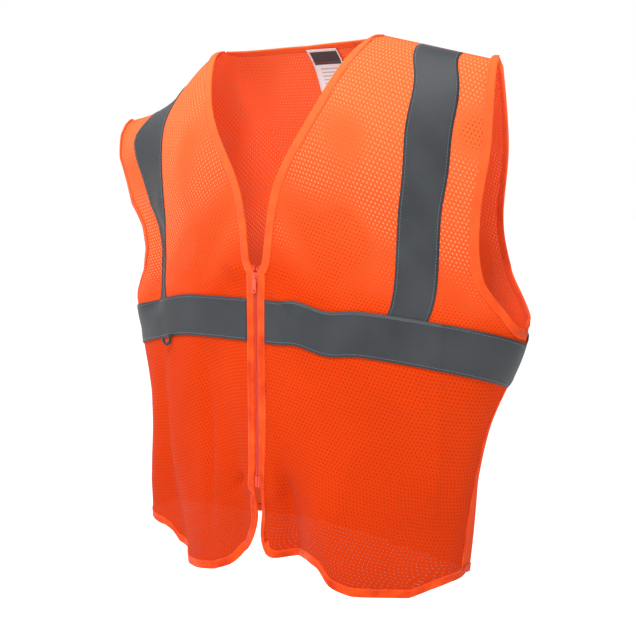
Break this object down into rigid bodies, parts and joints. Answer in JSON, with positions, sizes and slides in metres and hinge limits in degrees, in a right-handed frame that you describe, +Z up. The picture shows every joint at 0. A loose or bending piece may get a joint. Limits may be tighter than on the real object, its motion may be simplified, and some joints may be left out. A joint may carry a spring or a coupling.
{
  "type": "hi-vis work vest",
  "caption": "Sleeveless fluorescent orange mesh work vest with a V neck, a zip front, a reflective belt and reflective tapes over both shoulders",
  "frame": {"origin": "middle of the shoulder line at neck height, where the vest hangs from the shoulders", "axes": "+Z up, the front with the zip faces -Y, the wearer's left is +X"},
  "size_m": [0.5832, 0.2048, 0.6335],
  "materials": {
    "mesh": "open knitted polyester mesh, fluorescent orange, matte",
    "binding": "folded knitted polyester binding, fluorescent orange, slight sheen",
    "seam": "rolled orange seam with orange thread",
    "tape": "grey glass-bead reflective tape with a fine weave, stitched edges",
    "zip_tape": "woven orange zip tape",
    "zip_teeth": "moulded orange-pink nylon, satin",
    "zip_slider": "orange painted metal, slightly glossy",
    "label": "white satin woven label with a dark plain header",
    "loop": "black elastic cord"
  },
  "bodies": {
    "vest": {"back_panel": "mesh", "left_side_panel": "mesh", "right_side_panel": "mesh", "left_shoulder_seam": "seam", "right_shoulder_seam": "seam", "left_side_seam": "seam", "right_side_seam": "seam", "left_front_tape": "tape", "right_front_tape": "tape", "left_back_tape": "tape", "right_back_tape": "tape", "left_side_belt": "tape", "right_side_belt": "tape", "back_belt": "tape", "neck_binding": "binding", "left_armhole_binding": "binding", "right_armhole_binding": "binding", "left_hem_binding": "binding", "right_hem_binding": "binding", "back_hem_binding": "binding", "side_loop": "loop"},
    "left_front": {"left_front_panel": "mesh", "left_belt": "tape", "left_front_binding": "binding", "left_zip_tape": "zip_tape", "left_zip_coil": "zip_teeth", "left_top_stop": "zip_teeth", "insertion_pin": "zip_teeth"},
    "right_front": {"right_front_panel": "mesh", "right_belt": "tape", "right_front_binding": "binding", "right_zip_tape": "zip_tape", "right_zip_coil": "zip_teeth", "right_top_stop": "zip_teeth", "retainer_box": "zip_teeth"},
    "slider": {"slider": "zip_slider"},
    "pull_tab": {"pull_tab": "zip_slider"},
    "label": {"neck_label": "label"}
  },
  "joints": [
    {"name": "left_front_open", "type": "hinge", "parent": "vest", "child": "left_front", "pos_m": [0.08, -0.095, -0.08], "axis": [-0.1848, -0.0622, 0.9808], "range_deg": [0, 60]},
    {"name": "right_front_open", "type": "hinge", "parent": "vest", "child": "right_front", "pos_m": [-0.08, -0.095, -0.08], "axis": [-0.1848, 0.0622, -0.9808], "range_deg": [0, 60]},
    {"name": "zip_slide", "type": "slide", "parent": "left_front", "child": "slider", "axis": [0, 0, 1], "range_m": [-0.228, 0]},
    {"name": "pull_swing", "type": "hinge", "parent": "slider", "child": "pull_tab", "pos_m": [0, -0.0847, -0.2704], "axis": [-1, 0, 0], "range_deg": [0, 160]},
    {"name": "label_lift", "type": "hinge", "parent": "vest", "child": "label", "pos_m": [0.018, 0.0285, -0.0175], "axis": [-1, 0, 0], "range_deg": [0, 70]}
  ]
}
